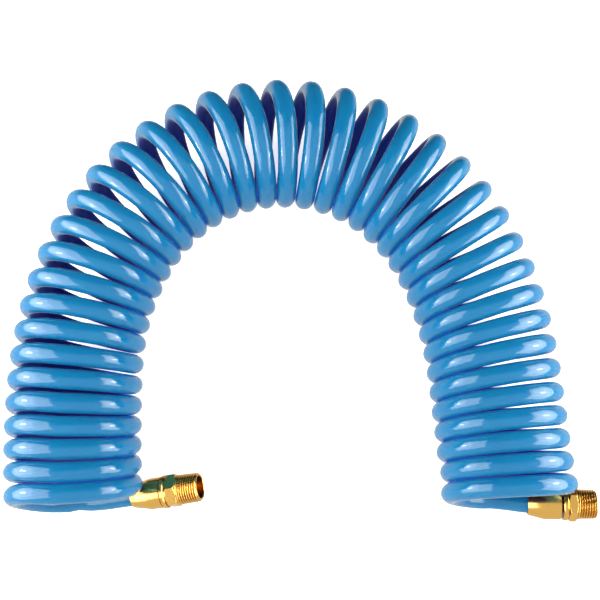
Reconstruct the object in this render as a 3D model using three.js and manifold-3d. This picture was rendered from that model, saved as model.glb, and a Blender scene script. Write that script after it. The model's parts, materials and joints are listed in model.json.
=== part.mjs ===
// Coiled air hose: a polyurethane recoil hose whose close turns are bent into a tall arch that lies
// flat, with a rigid male pipe fitting on its left end and a swivelling one on its right end.
// Millimetres, Z up. The origin is on the ground, in the middle of the whole object's outline.

import * as THREE from "three";
import { mergeVertices } from "three/addons/utils/BufferGeometryUtils.js";
import Module from "manifold-3d";

const wasm = await Module();
wasm.setup();

// Driving dimensions

const GAP = 0.3; // left between pieces that touch
const ROUND_SIDES = 48; // sides of a turned piece

const HOSE_RADIUS = 5.55; // a 7/16 inch tube
const HOSE_SIDES = 12;
const HOSE_STEP = 3; // along a tail

const COIL_RADIUS = 31.45; // from the coil's axis to the middle of the hose
const COIL_SIDES = 32;
const COIL_STEPS = 64;
const COIL_HEIGHT = COIL_RADIUS + HOSE_RADIUS; // the coil's axis above the ground

// The coil's axis is an arch in a level plane. Its bend is greatest at the crown, and fades smoothly
// along each shoulder to the nearly straight legs. The right leg's last turns flare outwards.
const ARCH = {
  crown: new THREE.Vector2(-11, 93.8),
  length: 534.6,
  legBend: 1 / 671,
  crownBend: 1 / 107.3,
  shoulder: 224,
  flare: 3,
  flareLength: 27.8,
  steps: 400,
};

// The filled coil stops short of the arch's two ends, which leaves room for the tails.
const COIL_INSET = { left: 7, right: 0.6 };

// The tails run from beside the coil's last turns to the mouths of the ferrules.
const RIGID_TAIL = [
  [-137.3, -109.6, 6.0],
  [-131.8, -110.4, 5.6],
  [-126.4, -110.8, 6.0],
  [-118.8, -110.6, 7.4],
  [-111.4, -109.9, 8.8],
  [-102.4, -108.8, 10.4],
];
const SWIVEL_TAIL = [
  [106.7, -116.5, 6.3],
  [110.2, -116.8, 5.9],
  [114.3, -117.3, 6.3],
  [118.5, -117.8, 7.1],
  [123.1, -118.5, 8.1],
  [128.5, -119.1, 9.2],
];

// Each fitting starts at its tail's last point, and its axis points away from the hose. The roll turns
// its hexagon about that axis, from one corner pointing up.
const RIGID_POSE = { heading: 7.2, rise: 10, roll: -13 };
const SWIVEL_POSE = { heading: -2, rise: 4.2, roll: 25 };

// Stations along a fitting's axis, from its ferrule's mouth, and radii about it
const HOSE_DEPTH = 15.9; // how far the hose goes into a ferrule
const BARB = { start: 1.4, end: 16.2, radius: 3.7, ridge: 4.1, pitch: 3, bore: 2.7 };
const NECK_RADIUS = 4.7;
const LIP_THICKNESS = 2;
const FERRULE_RADIUS = 9.05;
const RIGID_FERRULE = { mouth: 6.6, taper: 11.3, end: 18.9 };
const SWIVEL_FERRULE = { mouth: 6.75, taper: 9.4, end: 18.7 };

const FLANGE_RADIUS = 9.6;
const GROOVE_RADIUS = 8.6;
const HEX_FLATS = 17.5;
const THREAD = { radius: 8.75, chamfer: 0.9, bore: 6.6 };
const THREAD_TAPER = 1 / 32; // on the radius, a pipe thread's 1 in 16 on the diameter
const RIGID_BODY = { flange: 19.2, groove: 21.8, hex: 22.6, thread: 28.9, end: 41.8, boreDepth: 11 };
const ADAPTER = { flange: 19.9, groove: 22.6, hex: 22.9, thread: 27.9, end: 38.8 };

const SOCKET = { radius: 7.1, end: 31.1, lip: 5 }; // the room inside the adapter for the stem's head
const WASHER = { inner: 5, outer: 6.7, start: 22.9, end: 23.7 };
const HEAD = { radius: 6.7, start: 24, end: 30.6, groove: 4.9, grooveStart: 25.9, grooveEnd: 28.6 };
const O_RING = { section: 0.9, radius: 5.95, sides: 12 };

// Materials

const polyurethane = new THREE.MeshStandardMaterial({ color: 0x2f90d2, roughness: 0.22 });
const brass = new THREE.MeshStandardMaterial({ color: 0xd9ab4a, roughness: 0.3, metalness: 1 });
const blackRubber = new THREE.MeshStandardMaterial({ color: 0x17171a, roughness: 0.6 });
const whiteNylon = new THREE.MeshStandardMaterial({ color: 0xe6e2d6, roughness: 0.45 });

// Solids

function solidOf(geometry) {
  const bare = geometry.clone();
  bare.deleteAttribute("normal");
  bare.deleteAttribute("uv");
  const merged = mergeVertices(bare, 1e-4);
  const vertProperties = new Float32Array(merged.attributes.position.array);
  const triVerts = new Uint32Array(merged.index.array);
  return new wasm.Manifold(new wasm.Mesh({ numProp: 3, vertProperties, triVerts }));
}

function geometryOf(solid) {
  const mesh = solid.getMesh();
  const geometry = new THREE.BufferGeometry();
  geometry.setAttribute("position", new THREE.BufferAttribute(mesh.vertProperties, 3));
  geometry.setIndex(new THREE.BufferAttribute(mesh.triVerts, 1));
  geometry.computeVertexNormals();
  return geometry;
}

// A turned piece about +X, from the [station, radius] corners of its section. The corners run along the
// outside towards +X, and the section closes on itself or starts and ends on the axis.
function turned(corners) {
  const profile = corners.map(([station, radius]) => new THREE.Vector2(radius, station));
  return new THREE.LatheGeometry(profile, ROUND_SIDES).rotateZ(-Math.PI / 2);
}

function rod(start, end, radius) {
  return turned([[start, 0], [start, radius], [end, radius], [end, 0]]);
}

function tube(start, end, inner, outer) {
  return turned([[start, inner], [start, outer], [end, outer], [end, inner], [start, inner]]);
}

function polygon(sides, radius, turn = 0) {
  const shape = new THREE.Shape();
  for (let i = 0; i < sides; i += 1) {
    const angle = turn + (i * 2 * Math.PI) / sides;
    const place = [radius * Math.cos(angle), radius * Math.sin(angle)];
    if (i === 0) {
      shape.moveTo(...place);
    } else {
      shape.lineTo(...place);
    }
  }
  return shape;
}

// The coil

// Points along the arch, worked out from the crown towards each leg's end.
function archPoints() {
  const half = ARCH.length / 2;
  const step = ARCH.length / ARCH.steps;
  const sides = [-1, 1].map((side) => {
    const points = [];
    let heading = 0;
    let x = ARCH.crown.x;
    let y = ARCH.crown.y;
    for (let along = 0; along <= half; along += step) {
      const flare = ARCH.flare * THREE.MathUtils.smoothstep(along, half - ARCH.flareLength, half);
      const outward = side > 0 ? flare : 0;
      const point = new THREE.Vector3(
        x + side * outward * Math.sin(heading),
        y + outward * Math.cos(heading),
        COIL_HEIGHT,
      );
      points.push({ along: side * along, point });
      const share = THREE.MathUtils.smoothstep(half - along - step / 2, 0, ARCH.shoulder);
      const bend = ARCH.legBend + (ARCH.crownBend - ARCH.legBend) * share;
      heading += (bend * step) / 2;
      x += side * step * Math.cos(heading);
      y -= step * Math.sin(heading);
      heading += (bend * step) / 2;
    }
    return points;
  });
  const [left, right] = sides;
  return [...left.slice(1).reverse(), ...right];
}

function coil() {
  const first = -ARCH.length / 2 + COIL_INSET.left;
  const last = ARCH.length / 2 - COIL_INSET.right;
  const kept = archPoints().filter(({ along }) => along >= first && along <= last);
  const path = new THREE.CatmullRomCurve3(kept.map(({ point }) => point));
  const corner = COIL_HEIGHT / Math.cos(Math.PI / COIL_SIDES);
  const section = polygon(COIL_SIDES, corner, Math.PI / COIL_SIDES);
  return new THREE.ExtrudeGeometry(section, { steps: COIL_STEPS, extrudePath: path });
}

// The tails

function tail(points, fitting) {
  const route = points.map((place) => new THREE.Vector3(...place));
  for (const share of [0.3, 0.65, 1]) {
    route.push(new THREE.Vector3(share * HOSE_DEPTH, 0, 0).applyMatrix4(fitting.matrix));
  }
  const path = new THREE.CatmullRomCurve3(route);
  const steps = Math.round(path.getLength() / HOSE_STEP);
  const section = polygon(HOSE_SIDES, HOSE_RADIUS);
  const hose = new THREE.ExtrudeGeometry(section, { steps, extrudePath: path });
  const pocket = rod(BARB.start - GAP, HOSE_DEPTH + 1, BARB.ridge + GAP);
  pocket.applyMatrix4(fitting.matrix);
  return geometryOf(solidOf(hose).subtract(solidOf(pocket)));
}

// The fittings

function ferrule({ mouth, taper, end }) {
  const inside = HOSE_RADIUS + GAP;
  return turned([
    [0, inside],
    [0, mouth],
    [taper, FERRULE_RADIUS],
    [end, FERRULE_RADIUS],
    [end, NECK_RADIUS + GAP],
    [end - LIP_THICKNESS, NECK_RADIUS + GAP],
    [end - LIP_THICKNESS, inside],
    [0, inside],
  ]);
}

// The ridges that grip the hose, as corners from the barb's tip to the neck: each rises gently away
// from the tip and drops straight back.
function barbCorners() {
  const corners = [[BARB.start, BARB.bore], [BARB.start, BARB.radius]];
  const ridges = Math.floor((BARB.end - BARB.start) / BARB.pitch);
  for (let i = 0; i < ridges; i += 1) {
    const crest = BARB.start + (i + 1) * BARB.pitch - GAP;
    corners.push([crest, BARB.ridge], [crest + GAP, BARB.radius]);
  }
  corners.push([BARB.end, BARB.radius], [BARB.end, NECK_RADIUS]);
  return corners;
}

function hexagon(start, end) {
  const corner = HEX_FLATS / 2 / Math.cos(Math.PI / 6);
  const drop = corner - HEX_FLATS / 2;
  const bevel = drop / 2;
  const prism = new THREE.ExtrudeGeometry(polygon(6, corner), {
    depth: end - start,
    bevelEnabled: false,
  });
  // The first corner is on the extrusion's X, and this turn puts it on +Z and the depth on +X.
  prism.rotateZ(Math.PI / 2).rotateX(Math.PI / 2).rotateZ(Math.PI / 2).translate(start, 0, 0);
  const rounding = turned([
    [start, 0],
    [start, corner - drop],
    [start + bevel, corner],
    [end - bevel, corner],
    [end, corner - drop],
    [end, 0],
  ]);
  return solidOf(prism).intersect(solidOf(rounding));
}

// The flange, the groove behind it and the pipe thread's tapered cylinder, as corners.
function flangeAndThreadCorners({ flange, groove, hex, thread, end }) {
  const endRadius = THREAD.radius - (end - thread) * THREAD_TAPER;
  return [
    [flange, FLANGE_RADIUS],
    [groove, FLANGE_RADIUS],
    [groove, GROOVE_RADIUS],
    [hex + 1, GROOVE_RADIUS],
    [hex + 1, THREAD.radius],
    [thread, THREAD.radius],
    [end - THREAD.chamfer, endRadius],
    [end, endRadius - THREAD.chamfer],
  ];
}

// One turned brass piece: barb, neck, flange, hexagon and thread, with a wide mouth that narrows to the
// barb's bore.
function rigidBody() {
  const { end } = RIGID_BODY;
  const step = end - RIGID_BODY.boreDepth;
  const outline = [
    ...barbCorners(),
    [RIGID_BODY.flange, NECK_RADIUS],
    ...flangeAndThreadCorners(RIGID_BODY),
    [end, THREAD.bore],
    [step, THREAD.bore],
    [step - THREAD.bore + BARB.bore, BARB.bore],
    [BARB.start, BARB.bore],
  ];
  const bore = rod(RIGID_BODY.hex - 1, RIGID_BODY.thread + 1, THREAD.bore + GAP);
  const ring = hexagon(RIGID_BODY.hex, RIGID_BODY.thread).subtract(solidOf(bore));
  return geometryOf(solidOf(turned(outline)).add(ring));
}

function swivelAdapter() {
  const outline = [
    [ADAPTER.flange, SOCKET.lip],
    ...flangeAndThreadCorners(ADAPTER),
    [ADAPTER.end, THREAD.bore],
    [SOCKET.end, THREAD.bore],
    [SOCKET.end, SOCKET.radius],
    [ADAPTER.groove, SOCKET.radius],
    [ADAPTER.groove, SOCKET.lip],
    [ADAPTER.flange, SOCKET.lip],
  ];
  const bore = rod(ADAPTER.hex - 1, ADAPTER.thread + 1, SOCKET.radius + GAP);
  const ring = hexagon(ADAPTER.hex, ADAPTER.thread).subtract(solidOf(bore));
  return geometryOf(solidOf(turned(outline)).add(ring));
}

function swivelStem() {
  return turned([
    ...barbCorners(),
    [HEAD.start, NECK_RADIUS],
    [HEAD.start, HEAD.radius],
    [HEAD.grooveStart, HEAD.radius],
    [HEAD.grooveStart, HEAD.groove],
    [HEAD.grooveEnd, HEAD.groove],
    [HEAD.grooveEnd, HEAD.radius],
    [HEAD.end, HEAD.radius],
    [HEAD.end, BARB.bore],
    [BARB.start, BARB.bore],
  ]);
}

function oRing() {
  const middle = (HEAD.grooveStart + HEAD.grooveEnd) / 2;
  const corners = [];
  for (let i = 0; i <= O_RING.sides; i += 1) {
    const angle = (-2 * Math.PI * i) / O_RING.sides;
    corners.push([
      middle + O_RING.section * Math.cos(angle),
      O_RING.radius + O_RING.section * Math.sin(angle),
    ]);
  }
  return turned(corners);
}

// The assembly

const hose = new THREE.Group();

function addPiece(parent, name, geometry, material) {
  const piece = new THREE.Mesh(geometry, material);
  piece.name = name;
  parent.add(piece);
}

function placeFitting(mouth, { heading, rise, roll }) {
  const fitting = new THREE.Group();
  const { degToRad } = THREE.MathUtils;
  fitting.position.set(...mouth);
  fitting.rotation.set(degToRad(roll), degToRad(-rise), degToRad(heading), "ZYX");
  fitting.updateMatrix();
  hose.add(fitting);
  return fitting;
}

const rigidEnd = placeFitting(RIGID_TAIL.at(-1), RIGID_POSE);
const swivelEnd = placeFitting(SWIVEL_TAIL.at(-1), SWIVEL_POSE);

addPiece(hose, "hose_coil", coil(), polyurethane);
addPiece(hose, "hose_tail_rigid", tail(RIGID_TAIL, rigidEnd), polyurethane);
addPiece(hose, "hose_tail_swivel", tail(SWIVEL_TAIL, swivelEnd), polyurethane);

addPiece(rigidEnd, "rigid_ferrule", ferrule(RIGID_FERRULE), brass);
addPiece(rigidEnd, "rigid_fitting_body", rigidBody(), brass);

addPiece(swivelEnd, "swivel_ferrule", ferrule(SWIVEL_FERRULE), brass);
addPiece(swivelEnd, "swivel_stem", swivelStem(), brass);
addPiece(swivelEnd, "swivel_o_ring", oRing(), blackRubber);
addPiece(swivelEnd, "swivel_washer", tube(WASHER.start, WASHER.end, WASHER.inner, WASHER.outer), whiteNylon);
addPiece(swivelEnd, "swivel_adapter", swivelAdapter(), brass);

export default hose;
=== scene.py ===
"""Coiled air hose: the looks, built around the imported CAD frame. Everything is in metres.

The hose is one tube. A formula winds its turns round the arch, and each tail follows a few points.
Each brass piece is a surface turned about its fitting's axis, with its hexagon and its cut pipe thread.
"""

import json
import math

import bmesh
import bpy
import numpy as np
from mathutils import Matrix, Vector


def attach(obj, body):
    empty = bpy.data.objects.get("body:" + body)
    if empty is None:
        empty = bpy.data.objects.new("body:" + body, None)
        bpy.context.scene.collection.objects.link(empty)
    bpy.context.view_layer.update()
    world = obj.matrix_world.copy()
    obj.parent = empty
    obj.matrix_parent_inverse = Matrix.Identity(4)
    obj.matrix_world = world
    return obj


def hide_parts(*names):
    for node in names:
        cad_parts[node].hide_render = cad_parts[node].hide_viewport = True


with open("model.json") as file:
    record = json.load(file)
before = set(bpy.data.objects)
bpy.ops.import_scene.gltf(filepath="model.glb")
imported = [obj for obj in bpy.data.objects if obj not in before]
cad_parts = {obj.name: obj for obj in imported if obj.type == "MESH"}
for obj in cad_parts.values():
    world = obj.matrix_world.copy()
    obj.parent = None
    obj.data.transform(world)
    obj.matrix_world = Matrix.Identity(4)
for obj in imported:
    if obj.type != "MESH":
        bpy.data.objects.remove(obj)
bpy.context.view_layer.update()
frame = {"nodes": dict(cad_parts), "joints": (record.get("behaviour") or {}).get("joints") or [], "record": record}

MM = 0.001

# The hose and its coil, as in the CAD model
HOSE_RADIUS = 5.55 * MM
COIL_RADIUS = 31.45 * MM  # from the coil's axis to the middle of the hose
COIL_HEIGHT = COIL_RADIUS + HOSE_RADIUS
CROWN = np.array([-11, 93.8]) * MM
ARCH_LENGTH = 534.6 * MM
LEG_BEND = 1 / (671 * MM)
CROWN_BEND = 1 / (107.3 * MM)
SHOULDER = 224 * MM
FLARE = 3 * MM
FLARE_LENGTH = 27.8 * MM

# Turns are counted from the rigid end, and a whole number is on the outer side of the arch.
CROWN_TURN = 18.97  # the turn that the arch's middle falls on
FIRST_TURN = -0.222
LAST_TURN = 38.72
POINTS_PER_TURN = 36
# The painted shade on the coil's inner side fades out over these points at each end.
END_FADE = 34  # the points over which the coil's inner colour fades out at its ends

# Along the arch, in mm from its crown: how far the turns lean, as the sine of the angle by which their
# tops are ahead of their bottoms, and how many turns each place is ahead of an even winding.
LEAN = [
    (-267, 0.0),
    (-178, 0.073),
    (-89, 0.126),
    (0, 0.164),
    (89, 0.057),
    (178, -0.061),
    (267, -0.125),
]
TURNS_AHEAD = [
    (-267, 0.020),
    (-178, -0.005),
    (-89, 0.038),
    (0, 0.057),
    (89, 0.008),
    (178, -0.013),
    (267, -0.018),
]

# The end turns draw away from the rest, to make room for the ferrules.
RIGID_END_SHIFT = 4.2 * MM
RIGID_SHIFT_FROM = 0.17
SWIVEL_END_SHIFT = 0.7 * MM
SWIVEL_SHIFT_FROM = 38.35

# The last turns before each end have opened a little. At the rigid end their inner sides have moved
# further in and back towards the end, and their outer sides a little forward, the upper half more than
# the lower. At the swivelling end the whole turns have moved outwards.
INNER_SIDE_IN = 2.7 * MM
INNER_SIDE_BACK = 3.2 * MM
OUTER_SIDE_FORWARD = 0.8 * MM
OUTER_SIDE_LEAN = 2.2 * MM
RIGID_OPENING = (150 * MM, 225 * MM)  # from the crown, where it starts and where it is whole
RIGID_LAST_TURNS = (0, 0.5)  # the turns over which the inner sides come back into place
SWIVEL_SIDE_OUT = 1.3 * MM
SWIVEL_OPENING = (215 * MM, 245 * MM)
SWIVEL_LAST_TURNS = (38.3, LAST_TURN)

# Where the rigid end's tail leaves the coil, the hose bulges back from the turn above it.
BULGE = 1.3 * MM
BULGE_REACH = 34 * MM

RIGID_TAIL = [
    [-137.3, -109.6, 6.0],
    [-131.8, -110.4, 5.6],
    [-126.4, -110.8, 6.0],
    [-118.8, -110.6, 7.4],
    [-111.4, -109.9, 8.8],
    [-102.4, -108.8, 10.4],
]
SWIVEL_TAIL = [
    [106.7, -116.5, 6.3],
    [110.2, -116.8, 5.9],
    [114.3, -117.3, 6.3],
    [118.5, -117.8, 7.1],
    [123.1, -118.5, 8.1],
    [128.5, -119.1, 9.2],
]
HOSE_DEPTH = 15.9 * MM  # how far the hose goes into a ferrule


def smooth(value, start, end):
    """0 before start, 1 after end, and a smooth rise between them."""
    share = np.clip((value - start) / (end - start), 0, 1)
    return share * share * (3 - 2 * share)


def summed(rate, step):
    """The running integral of a rate sampled every step, from 0."""
    return np.concatenate([[0], np.cumsum((rate[1:] + rate[:-1]) / 2) * step])


# The fittings' places


def fitting_axes():
    """The mouth and the direction of each fitting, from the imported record."""
    mounts = {mount["name"]: mount for mount in frame["record"]["mounts"]}
    spin = next(joint for joint in frame["joints"] if joint["name"] == "swivel_spin")
    rigid = (Vector(RIGID_TAIL[-1]) * MM, Vector(mounts["rigid_thread_face"]["axis"]))
    swivel = (Vector(spin["pos_m"]), Vector(spin["axis"]))
    return rigid, swivel


def fitting_matrix(mouth, direction, roll):
    """Places a piece that is drawn about +X from the origin. The roll turns it about that axis."""
    heading = math.atan2(direction.y, direction.x)
    rise = math.asin(direction.normalized().z)
    turn = Matrix.Rotation(heading, 4, "Z") @ Matrix.Rotation(-rise, 4, "Y")
    return Matrix.Translation(mouth) @ turn @ Matrix.Rotation(math.radians(roll), 4, "X")


# How far each fitting's hexagon is turned about its axis, in degrees
RIGID_ROLL = -13
SWIVEL_ROLL = 25
(rigid_mouth, rigid_direction), (swivel_mouth, swivel_direction) = fitting_axes()
RIGID_PLACE = fitting_matrix(rigid_mouth, rigid_direction, RIGID_ROLL)
SWIVEL_PLACE = fitting_matrix(swivel_mouth, swivel_direction, SWIVEL_ROLL)

# The camera


CAMERA_LENS = 53.8
CAMERA_PLACE = Vector((18.2, -56.5, 547.3)) * MM
CAMERA_TURN = (6.51, 1.95, -2.02)  # pitch, yaw and roll, in degrees


def make_camera():
    data = bpy.data.cameras.new("camera")
    data.lens = CAMERA_LENS
    camera = bpy.data.objects.new("camera", data)
    camera.location = CAMERA_PLACE
    pitch, yaw, roll = (math.radians(degrees) for degrees in CAMERA_TURN)
    turn = Matrix.Rotation(pitch, 3, "X") @ Matrix.Rotation(yaw, 3, "Y") @ Matrix.Rotation(roll, 3, "Z")
    camera.rotation_euler = turn.to_euler()
    bpy.context.collection.objects.link(camera)
    bpy.context.scene.camera = camera


make_camera()

# The hose


def smooth_line(points, pieces):
    """A Catmull-Rom line through the points, with each stretch cut into pieces."""
    ends = [2 * points[0] - points[1], *points, 2 * points[-1] - points[-2]]
    line = []
    for a, b, c, d in zip(ends, ends[1:], ends[2:], ends[3:]):
        for i in range(pieces):
            t = i / pieces
            bend = (2 * a - 5 * b + 4 * c - d) * t**2 + (3 * b - a - 3 * c + d) * t**3
            line.append(0.5 * (2 * b + (c - a) * t + bend))
    return np.array([*line, points[-1]])


PROFILE_PIECES = 12


def profile(along, knots):
    """A smooth value at each place along the arch, through the knots."""
    line = smooth_line(np.array(knots), PROFILE_PIECES)
    return np.interp(along, line[:, 0] * MM, line[:, 1])


ARCH_SPARE = 10 * MM
ARCH_STEP = 0.5 * MM


def arch():
    """The coil's axis from the rigid end to the swivelling end, sampled past both.

    Gives the turn at each place, then x, y, the heading, the turns' lean and the distance from the crown.
    """
    half = ARCH_LENGTH / 2
    along = np.arange(0, half + ARCH_SPARE, ARCH_STEP)
    bend = LEG_BEND + (CROWN_BEND - LEG_BEND) * smooth(half - along, 0, SHOULDER)
    heading = summed(bend, ARCH_STEP)
    across = summed(np.cos(heading), ARCH_STEP)
    down = summed(np.sin(heading), ARCH_STEP)
    pitch = 2 * HOSE_RADIUS / (1 - COIL_RADIUS * bend)  # the turns touch on the arch's inner side
    turns = summed(1 / pitch, ARCH_STEP)
    mirrored = [(-1, along), (-1, across), (1, down), (-1, turns), (-1, -heading)]
    along, across, down, turns, heading = (
        np.concatenate([sign * values[:0:-1], np.abs(sign) * values if sign > 0 else values])
        for sign, values in mirrored
    )
    outwards = FLARE * smooth(along, half - FLARE_LENGTH, half)
    x = CROWN[0] + across - outwards * np.sin(heading)
    y = CROWN[1] - down + outwards * np.cos(heading)
    turns += CROWN_TURN + profile(along, TURNS_AHEAD)
    return turns, (x, y, heading, profile(along, LEAN), along)


def coil_points():
    """The middle of the hose through its turns, and the coil's axis beside each point."""
    turns, along_arch = arch()
    count = round((LAST_TURN - FIRST_TURN) * POINTS_PER_TURN)
    turn = np.linspace(FIRST_TURN, LAST_TURN, count)
    x, y, heading, lean, along = (np.interp(turn, turns, values) for values in along_arch)
    angle = 2 * math.pi * turn
    shift = lean * COIL_RADIUS * np.sin(angle)
    shift += SWIVEL_END_SHIFT * smooth(turn, SWIVEL_SHIFT_FROM, LAST_TURN)
    shift -= RIGID_END_SHIFT * smooth(-turn, -RIGID_SHIFT_FROM, -FIRST_TURN)
    opening = smooth(-along, *RIGID_OPENING)
    inner = opening * smooth(turn, *RIGID_LAST_TURNS) * (1 - np.cos(angle)) / 2
    outer = opening * (1 + np.cos(angle)) / 2
    outer_lean = OUTER_SIDE_LEAN * opening * np.maximum(np.cos(angle), 0) * np.sin(angle)
    shift += OUTER_SIDE_FORWARD * outer + outer_lean - INNER_SIDE_BACK * inner
    out = COIL_RADIUS * np.cos(angle) - INNER_SIDE_IN * inner
    out += SWIVEL_SIDE_OUT * smooth(along, *SWIVEL_OPENING) * (1 - smooth(turn, *SWIVEL_LAST_TURNS))
    x = x + shift * np.cos(heading)
    y = y + shift * np.sin(heading)
    points = np.stack(
        [x - out * np.sin(heading), y + out * np.cos(heading), COIL_HEIGHT + COIL_RADIUS * np.sin(angle)],
        axis=1,
    )
    return points, np.stack([x, y, np.full_like(x, COIL_HEIGHT)], axis=1)


SHARES_OF_DEPTH = (0.3, 0.65, 1)
TAIL_PIECES = 6  # the pieces between one of a tail's points and the next


def tail_points(places, fitting):
    """A smooth line through a tail's points and straight on into its ferrule."""
    inside = [list(fitting @ Vector((share * HOSE_DEPTH, 0, 0))) for share in SHARES_OF_DEPTH]
    points = np.array([[value * MM for value in place] for place in places] + inside)
    return smooth_line(points, TAIL_PIECES)


def hose_line():
    """The whole hose's middle line, from inside the rigid ferrule to inside the swivelling one.

    With it go the coil's axis beside each point, and 1 where the hose is coiled, fading to 0 on the tails.
    """
    coil, axis = coil_points()
    start = tail_points(RIGID_TAIL, RIGID_PLACE)[::-1]
    end = tail_points(SWIVEL_TAIL, SWIVEL_PLACE)
    line = np.concatenate([start[:-1], coil[1:-1], end[1:]])
    steps = np.linalg.norm(np.diff(line, axis=0), axis=1)
    distance = np.concatenate([[0], np.cumsum(steps)])
    from_coil = abs(distance - distance[len(start) - 1])
    line[:, 1] -= BULGE * (1 - smooth(from_coil, 0, BULGE_REACH))
    before = np.tile(axis[0], (len(start) - 1, 1))
    after = np.tile(axis[-1], (len(end) - 1, 1))
    number = np.arange(len(line))
    coiled = smooth(number, len(before), len(before) + END_FADE)
    coiled *= 1 - smooth(number, len(line) - len(after) - END_FADE, len(line) - len(after))
    return line, np.concatenate([before, axis[1:-1], after]), coiled


def tube(line, radius, sides):
    """The vertices of a round tube: a ring of them round each point of the line."""
    ahead = np.gradient(line, axis=0)
    ahead /= np.linalg.norm(ahead, axis=1)[:, None]
    side = np.cross(ahead[0], [0, 0, 1])
    turns = np.linspace(0, 2 * math.pi, sides, endpoint=False)
    rings = []
    for point, direction in zip(line, ahead):
        side = side - direction * side.dot(direction)
        side /= np.linalg.norm(side)
        up = np.cross(direction, side)
        rings.append(point + radius * (np.outer(np.cos(turns), side) + np.outer(np.sin(turns), up)))
    return np.concatenate(rings)


def grid_faces(rows, columns):
    """Quads between rows of columns that each close on themselves."""
    faces = []
    for i in range(rows - 1):
        for j in range(columns):
            k = (j + 1) % columns
            faces.append((i * columns + j, (i + 1) * columns + j, (i + 1) * columns + k, i * columns + k))
    return faces


SHARP_EDGE = math.radians(33)


def add_object(name, vertices, faces, place=Matrix()):
    """A new mesh object whose faces all point outwards. Its vertices are moved to their place."""
    mesh = bpy.data.meshes.new(name)
    mesh.from_pydata([tuple(place @ Vector(vertex)) for vertex in vertices], [], faces)
    shape = bmesh.new()
    shape.from_mesh(mesh)
    bmesh.ops.recalc_face_normals(shape, faces=shape.faces)
    for face in shape.faces:
        face.smooth = True
    for edge in shape.edges:
        edge.smooth = edge.calc_face_angle(0) < SHARP_EDGE
    shape.to_mesh(mesh)
    shape.free()
    piece = bpy.data.objects.new(name, mesh)
    bpy.context.collection.objects.link(piece)
    return piece


def add_attribute(piece, name, values):
    """Keeps a number for each vertex, for the piece's material to read."""
    attribute = piece.data.attributes.new(name, "FLOAT", "POINT")
    attribute.data.foreach_set("value", np.asarray(values, dtype=np.float32))


HOSE_SIDES = 28


def make_hose():
    line, axis, coiled = hose_line()
    vertices = tube(line, HOSE_RADIUS, HOSE_SIDES)
    faces = grid_faces(len(line), HOSE_SIDES)
    last = (len(line) - 1) * HOSE_SIDES
    faces.append(tuple(range(HOSE_SIDES)))
    faces.append(tuple(range(last + HOSE_SIDES - 1, last - 1, -1)))
    hose = add_object("hose", vertices, faces)
    middle = np.repeat(line, HOSE_SIDES, axis=0)
    inward = np.repeat(axis, HOSE_SIDES, axis=0) - middle
    inward /= np.linalg.norm(inward, axis=1)[:, None]
    facing = ((vertices - middle) / HOSE_RADIUS * inward).sum(axis=1)
    # facing_axis sets where the hose's painted shade falls: the side that faces into the coil.
    add_attribute(hose, "facing_axis", facing * np.repeat(coiled, HOSE_SIDES))
    return hose, line, float(np.linalg.norm(np.diff(line, axis=0), axis=1).sum())


hose, hose_route, hose_length = make_hose()

# The brass pieces

# Everything about the brass pieces is in mm along their axis, or in mm from it.

COLUMNS = 96  # round every turned piece, a whole number to each side of a hexagon
FLANGE_RADIUS = 9.6
GROOVE_RADIUS = 8.6
HEX_HALF_FLATS = 8.75
HEX_CHAMFER = math.radians(30)
HEX_CHAMFER_ROWS = 9
NECK_RADIUS = 4.7
NECK_PLAY = 0.3
BARB_RADIUS = 3.7
BARB_BORE = 2.7
BARB_ENDS = (1.4, 16.2)
FERRULE_RADIUS = 9.05
FERRULE_BORE = 5.8
FERRULE_BACK = 2  # the thickness of its wall round the neck
SOFT_CORNER = 0.6
THREAD_RADIUS = 8.75
THREAD_TAPER = 1 / 32
THREAD_PITCH = 1.411
THREAD_ROWS = 18  # to each pitch
THREAD_DEPTH = 0.85
THREAD_FLAT = 0.1  # the flats of a crest and of a root, as a share of the pitch
THREAD_RUN_OUT = (0.3, 1.8)  # from the hexagon, where the cut starts and where it is whole
THREAD_CHAMFER = 1.3
# How much painted shade darkens the thread's roots.
THREAD_SHADE = 0.2
THREAD_BORE = 6.6
BORE_DEPTH = 11
# How much painted shade darkens the bores.
BORE_SHADE = 0.5
EDGE = 0.25  # the small chamfer on a turned edge

ANGLES = np.linspace(0, 2 * math.pi, COLUMNS, endpoint=False)


def ring(station, radius, shade=0):
    """A row of a turned piece: its station along the axis, and its radius and shade at every angle.

    Lengths are in mm. The shade is painted shade: 1 where the brass is darkened as if in shadow, and 0 where it
    keeps its own colour.
    """
    return station, np.broadcast_to(radius, COLUMNS), np.broadcast_to(shade, COLUMNS)


def turned(name, rows, place):
    """A surface through the rows, the last joined to the first, as an object drawn about +X."""
    stations, radii, shades = (np.array(values) for values in zip(*rows))
    x = np.repeat(stations, COLUMNS)
    y = (-radii * np.sin(ANGLES)).ravel()
    z = (radii * np.cos(ANGLES)).ravel()
    vertices = np.stack([x, y, z], axis=1) * MM
    count = len(rows)
    faces = [
        tuple(index % (count * COLUMNS) for index in face)
        for face in grid_faces(count + 1, COLUMNS)
    ]
    piece = add_object(name, vertices, faces, place)
    add_attribute(piece, "shade", shades.ravel())
    return piece


def hexagon_rows(start, end):
    """The hexagon, with its corners cut back at both faces by a cone."""
    corner = HEX_HALF_FLATS / math.cos(math.pi / 6)
    within = np.mod(ANGLES, math.pi / 3) - math.pi / 6
    flats = HEX_HALF_FLATS / np.cos(within)
    slope = math.tan(HEX_CHAMFER)
    depth = (corner - HEX_HALF_FLATS + EDGE) * slope
    steps = np.linspace(0, depth, HEX_CHAMFER_ROWS)
    rows = []
    for step in steps:
        rows.append(ring(start + step, np.minimum(flats, HEX_HALF_FLATS - EDGE + step / slope)))
    for step in steps[::-1]:
        rows.append(ring(end - step, np.minimum(flats, HEX_HALF_FLATS - EDGE + step / slope)))
    return rows


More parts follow.
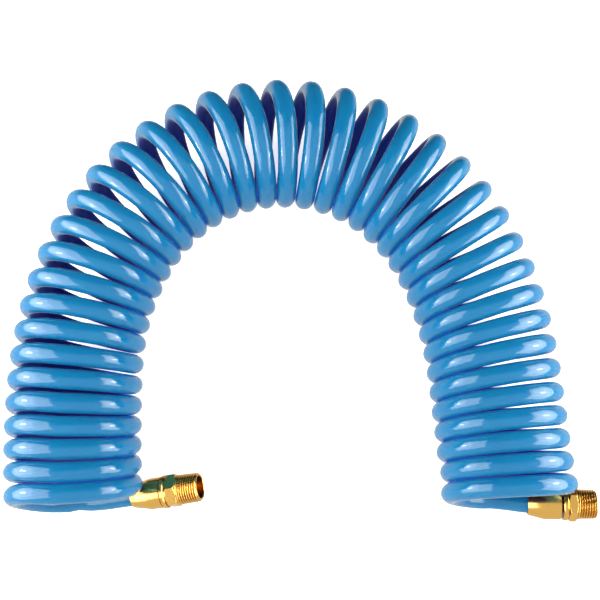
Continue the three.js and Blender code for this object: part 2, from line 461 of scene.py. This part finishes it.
def thread_rows(start, end):
    """A right-handed tapered pipe thread, from its run-out at the hexagon to the chamfered end."""
    count = round((end - start) / THREAD_PITCH * THREAD_ROWS)
    run_out = [start + distance for distance in THREAD_RUN_OUT]
    rows = []
    for station in np.linspace(start, end, count):
        crest = THREAD_RADIUS - (station - start) * THREAD_TAPER
        phase = np.mod((station - start) / THREAD_PITCH + ANGLES / (2 * math.pi), 1)
        ramp = np.abs(2 * phase - 1)
        cut = np.clip((ramp - THREAD_FLAT) / (1 - 2 * THREAD_FLAT), 0, 1) * smooth(station, *run_out)
        cone = THREAD_RADIUS - THREAD_CHAMFER + (end - station)
        rows.append(ring(station, np.minimum(crest - THREAD_DEPTH * cut, cone), THREAD_SHADE * cut))
    return rows


def bore_rows(end, inner_end):
    """The rim of a threaded mouth, and its bore down to the inner end."""
    return [
        ring(end, THREAD_BORE + EDGE),
        ring(end - EDGE, THREAD_BORE),
        ring(end - 2 * EDGE, THREAD_BORE, BORE_SHADE),
        ring(inner_end, THREAD_BORE, BORE_SHADE),
    ]


def make_ferrule(name, mouth, taper, end, place):
    """A sleeve whose radius grows from its mouth over the taper, with a soft corner where that ends."""
    slope = (FERRULE_RADIUS - mouth) / taper
    back = end - FERRULE_BACK
    neck_hole = NECK_RADIUS + NECK_PLAY
    rows = [
        ring(2 * EDGE, FERRULE_BORE),
        ring(0, FERRULE_BORE + EDGE),
        ring(0, mouth - EDGE),
        ring(EDGE, mouth),
        ring(taper - SOFT_CORNER, FERRULE_RADIUS - SOFT_CORNER * slope - 0.02),
        ring(taper, FERRULE_RADIUS - 0.06),
        ring(taper + SOFT_CORNER, FERRULE_RADIUS),
        ring(end - EDGE, FERRULE_RADIUS),
        ring(end, FERRULE_RADIUS - EDGE),
        ring(end, neck_hole),
        ring(back, neck_hole),
        ring(back, FERRULE_BORE),
    ]
    return turned(name, rows, place)


def flange_rows(flange, groove, hexagon):
    """The round flange with its chamfers, and the groove between it and the hexagon."""
    return [
        ring(flange, FLANGE_RADIUS - 2 * EDGE),
        ring(flange + 2 * EDGE, FLANGE_RADIUS),
        ring(groove - 2 * EDGE, FLANGE_RADIUS),
        ring(groove, FLANGE_RADIUS - 2 * EDGE),
        ring(groove, GROOVE_RADIUS),
        ring(hexagon, GROOVE_RADIUS),
    ]


def make_rigid_body():
    """The barb, the neck, the flange, the hexagon and the thread, bored right through."""
    flange, groove, hexagon, thread, end = 19.2, 21.8, 22.6, 28.9, 41.8
    inner_end = end - BORE_DEPTH
    rows = [
        ring(BARB_ENDS[0], BARB_BORE),
        ring(BARB_ENDS[0], BARB_RADIUS),
        ring(BARB_ENDS[1], BARB_RADIUS),
        ring(BARB_ENDS[1], NECK_RADIUS),
        ring(flange, NECK_RADIUS),
        *flange_rows(flange, groove, hexagon),
        *hexagon_rows(hexagon, thread),
        *thread_rows(thread, end),
        *bore_rows(end, inner_end),
        ring(inner_end - (THREAD_BORE - BARB_BORE), BARB_BORE, 1),
    ]
    return turned("rigid_fitting", rows, RIGID_PLACE)


def make_adapter():
    """The flange, the hexagon and the thread, with the socket that turns on the stem."""
    flange, groove, hexagon, thread, end = 19.9, 22.6, 22.9, 27.9, 38.8
    lip, socket, socket_end = 5, 7.1, 31.1
    rows = [
        ring(flange, lip),
        *flange_rows(flange, groove, hexagon),
        *hexagon_rows(hexagon, thread),
        *thread_rows(thread, end),
        *bore_rows(end, socket_end),
        ring(socket_end, socket, 1),
        ring(groove, socket, 1),
        ring(groove, lip, 1),
    ]
    return turned("swivel_adapter_brass", rows, SWIVEL_PLACE)


rigid_ferrule = make_ferrule("rigid_ferrule_brass", 6.6, 11.3, 18.9, RIGID_PLACE)
rigid_fitting = make_rigid_body()
swivel_ferrule = make_ferrule("swivel_ferrule_brass", 6.75, 9.4, 18.7, SWIVEL_PLACE)
adapter = make_adapter()

# Materials


def new_material(name):
    material = bpy.data.materials.new(name)
    material.use_nodes = True
    nodes = material.node_tree.nodes
    return material, nodes, material.node_tree.links, nodes["Principled BSDF"]


def node(nodes, kind, **values):
    """A node of that kind. Each value sets the input of that name, or else the node's own property."""
    made = nodes.new(kind)
    for name, value in values.items():
        if name in made.inputs:
            made.inputs[name].default_value = value
        else:
            setattr(made, name, value)
    return made


def colour_mix(nodes, links, share, first, second):
    """A mix of two colours, each a colour or another node's output, by a share."""
    mix = nodes.new("ShaderNodeMix")
    mix.data_type = "RGBA"
    links.new(share, mix.inputs["Factor"])
    for socket, colour in ((mix.inputs["A"], first), (mix.inputs["B"], second)):
        if isinstance(colour, bpy.types.NodeSocket):
            links.new(colour, socket)
        else:
            socket.default_value = (*colour, 1)
    return mix.outputs["Result"]


BLUE = (0.005, 0.150, 0.300)
BLUE_VIOLET = (0.006, 0.130, 0.285)
# Painted shade: the navy that the hose's colour is mixed towards on the coil's inner side and where turns touch.
PAINTED_SHADE_NAVY = (0.012, 0.035, 0.27)
# Painted glow: the colour and strength of the emission where turns touch.
PAINTED_GLOW = (0.015, 0.05, 0.34)
PAINTED_GLOW_STRENGTH = 0.8


def hose_material():
    material, nodes, links, shader = new_material("blue_polyurethane")
    place = nodes.new("ShaderNodeTexCoord")
    streaks = node(nodes, "ShaderNodeTexNoise", Scale=60.0, Detail=2.0)
    links.new(place.outputs["Object"], streaks.inputs["Vector"])
    body = colour_mix(nodes, links, streaks.outputs["Fac"], BLUE, BLUE_VIOLET)
    # Painted shade: the tube's colour is mixed towards navy on the side that faces into the coil, and where
    # ambient occlusion finds turns touching. It stands in for the shade there.
    occlusion = node(nodes, "ShaderNodeAmbientOcclusion", Distance=0.012, samples=8)
    near = node(nodes, "ShaderNodeMapRange", **{"From Min": 0.4, "From Max": 0.02})
    links.new(occlusion.outputs["AO"], near.inputs["Value"])
    facing = node(nodes, "ShaderNodeAttribute", attribute_name="facing_axis")
    inside = node(nodes, "ShaderNodeMapRange", **{"From Min": 0.0, "From Max": 0.45})
    links.new(facing.outputs["Fac"], inside.inputs["Value"])
    # A painted glow: a faint blue emission where turns touch stands in for light coming through the plastic there.
    glow = node(nodes, "ShaderNodeMapRange", **{"To Max": PAINTED_GLOW_STRENGTH})
    links.new(near.outputs["Result"], glow.inputs["Value"])
    links.new(glow.outputs["Result"], shader.inputs["Emission Strength"])
    shader.inputs["Emission Color"].default_value = (*PAINTED_GLOW, 1)
    # The share of painted shade: the larger of the shade where turns touch and the shade on the inner side.
    depth = node(nodes, "ShaderNodeMath", operation="MAXIMUM")
    links.new(near.outputs["Result"], depth.inputs[0])
    links.new(inside.outputs["Result"], depth.inputs[1])
    body_with_painted_shade = colour_mix(nodes, links, depth.outputs["Value"], body, PAINTED_SHADE_NAVY)
    links.new(body_with_painted_shade, shader.inputs["Base Color"])
    # The side that faces into the coil shows no clear reflections.
    dull = node(nodes, "ShaderNodeMapRange", **{"To Min": 0.09, "To Max": 0.6})
    links.new(inside.outputs["Result"], dull.inputs["Value"])
    links.new(dull.outputs["Result"], shader.inputs["Roughness"])
    shader.inputs["IOR"].default_value = 1.55
    # Blue light goes furthest through the tube, and softens the lines where turns touch.
    shader.inputs["Subsurface Weight"].default_value = 0.6
    shader.inputs["Subsurface Scale"].default_value = 0.004
    shader.inputs["Subsurface Radius"].default_value = (0.1, 0.4, 1.0)
    return material


BRASS = (0.92, 0.53, 0.13)
# Painted shade: the dark brown that the bores, the gaps and the thread's roots are mixed towards.
SHADED_BRASS = (0.20, 0.06, 0.015)


def brass_material(roughness):
    material, nodes, links, shader = new_material("turned_brass")
    place = nodes.new("ShaderNodeTexCoord")
    grain = node(nodes, "ShaderNodeTexNoise", Scale=900.0, Detail=3.0)
    links.new(place.outputs["Object"], grain.inputs["Vector"])
    paler = tuple(min(1, value * 1.12) for value in BRASS)
    colour = colour_mix(nodes, links, grain.outputs["Fac"], BRASS, paler)
    # Painted shade darkens the bores, the gaps and the bottom of the thread, from ambient occlusion and the shade
    # attribute.
    occlusion = node(nodes, "ShaderNodeAmbientOcclusion", Distance=0.005, samples=8)
    hollow = node(nodes, "ShaderNodeMapRange", **{"From Min": 0.75, "From Max": 0.2})
    links.new(occlusion.outputs["AO"], hollow.inputs["Value"])
    thread = node(nodes, "ShaderNodeAttribute", attribute_name="shade")
    dark = node(nodes, "ShaderNodeMath", operation="MAXIMUM", use_clamp=True)
    links.new(hollow.outputs["Result"], dark.inputs[0])
    links.new(thread.outputs["Fac"], dark.inputs[1])
    shaded = colour_mix(nodes, links, dark.outputs["Value"], colour, SHADED_BRASS)
    links.new(shaded, shader.inputs["Base Color"])
    rough = node(nodes, "ShaderNodeMapRange", **{"To Min": roughness - 0.05, "To Max": roughness + 0.07})
    links.new(grain.outputs["Fac"], rough.inputs["Value"])
    links.new(rough.outputs["Result"], shader.inputs["Roughness"])
    shader.inputs["Metallic"].default_value = 1
    return material


def soft_material(name, colour, roughness):
    """Rubber or plastic."""
    material, nodes, links, shader = new_material(name)
    place = nodes.new("ShaderNodeTexCoord")
    grain = node(nodes, "ShaderNodeTexNoise", Scale=1500.0, Detail=2.0)
    links.new(place.outputs["Object"], grain.inputs["Vector"])
    darker = tuple(value * 0.8 for value in colour)
    mottled = colour_mix(nodes, links, grain.outputs["Fac"], darker, colour)
    links.new(mottled, shader.inputs["Base Color"])
    shader.inputs["Roughness"].default_value = roughness
    return material


def paint(piece, material):
    piece.data.materials.clear()
    piece.data.materials.append(material)


brass = brass_material(roughness=0.2)
paint(hose, hose_material())
for piece in (rigid_ferrule, rigid_fitting, swivel_ferrule, adapter, frame["nodes"]["swivel_stem"]):
    paint(piece, brass)
paint(frame["nodes"]["swivel_o_ring"], soft_material("nitrile_rubber", (0.02, 0.02, 0.022), 0.5))
paint(frame["nodes"]["swivel_washer"], soft_material("nylon", (0.8, 0.78, 0.7), 0.4))

# What rides on what

for piece in (hose, rigid_ferrule, rigid_fitting, swivel_ferrule):
    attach(piece, "hose")
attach(adapter, "swivel")
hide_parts("hose_coil", "hose_tail_rigid", "hose_tail_swivel")
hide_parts("rigid_ferrule")
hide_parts("rigid_fitting_body")
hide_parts("swivel_ferrule")
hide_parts("swivel_adapter")

# Floor and light

FLOOR_REACH = 3.0
FLOOR_DROP = 0.2 * MM  # keeps the floor's face clear of the hose that lies on it
FLOOR_GLOW = 0.65

def make_floor():
    mesh = bpy.data.meshes.new("floor")
    corners = [(FLOOR_REACH * x, FLOOR_REACH * y, 0) for x, y in ((-1, -1), (1, -1), (1, 1), (-1, 1))]
    mesh.from_pydata(corners, [], [(0, 1, 2, 3)])
    floor = bpy.data.objects.new("floor", mesh)
    floor.location.z = -FLOOR_DROP
    bpy.context.collection.objects.link(floor)
    material, nodes, links, shader = new_material("pale_floor")
    shader.inputs["Base Color"].default_value = (0.9, 0.9, 0.9, 1)
    shader.inputs["Roughness"].default_value = 0.9
    shader.inputs["Emission Color"].default_value = (1, 1, 1, 1)
    shader.inputs["Emission Strength"].default_value = FLOOR_GLOW
    floor.visible_glossy = False
    paint(floor, material)


def area_light(name, place, target, width, height, radiance):
    """A rectangle of light whose face has this brightness, where 1 is white paper in full light."""
    data = bpy.data.lights.new(name, "AREA")
    data.shape = "RECTANGLE"
    data.size = width
    data.size_y = height
    data.energy = radiance * math.pi * width * height
    light = bpy.data.objects.new(name, data)
    light.location = place
    light.rotation_euler = (Vector(target) - Vector(place)).to_track_quat("-Z", "Y").to_euler()
    bpy.context.collection.objects.link(light)
    return light


DIM_SIDE = (0, 0.97, 0.26)  # the way to the dim side's middle
DIM_EDGE = (0.64, 0.35)  # the cosines of the angle from it, where it is wholly dim and wholly bright


def make_world(bright, dim):
    """A bright room with one dim side, low down behind the object."""
    world = bpy.data.worlds.new("studio")
    world.use_nodes = True
    nodes, links = world.node_tree.nodes, world.node_tree.links
    place = nodes.new("ShaderNodeTexCoord")
    behind = node(nodes, "ShaderNodeVectorMath", operation="DOT_PRODUCT")
    behind.inputs[1].default_value = DIM_SIDE
    links.new(place.outputs["Generated"], behind.inputs[0])
    edge = {"From Min": DIM_EDGE[0], "From Max": DIM_EDGE[1]}
    strength = node(nodes, "ShaderNodeMapRange", **edge, **{"To Min": dim, "To Max": bright})
    links.new(behind.outputs["Value"], strength.inputs["Value"])
    links.new(strength.outputs["Result"], nodes["Background"].inputs["Strength"])
    nodes["Background"].inputs["Color"].default_value = (1, 1, 1, 1)
    bpy.context.scene.world = world


make_floor()
area_light("left_softbox", (-0.58, -0.02, 0.33), (0, 0, 0.1), 1.0, 0.8, 3.4)
area_light("right_softbox", (0.6, -0.02, 0.2), (0, 0, 0.1), 1.0, 0.5, 4.2)
for side, name in ((-1, "left"), (1, "right")):
    area_light(f"{name}_middle", (0.56 * side, -0.02, 0.2), (0, 0, 0.1), 0.5, 0.3, 2)
    area_light(f"{name}_lamp", (0.54 * side, -0.02, 0.18), (0, 0, 0.05), 0.09, 0.09, 14)
# A light beside the camera brightens the floor between the turns, and leaves no gleam on the hose.
front_light = area_light("front_light", (0.018, -0.056, 0.58), (0, 0, 0), 0.12, 0.12, 36)
front_light.visible_glossy = False
make_world(bright=0.72, dim=0.02)
bpy.context.scene.view_settings.view_transform = "Standard"
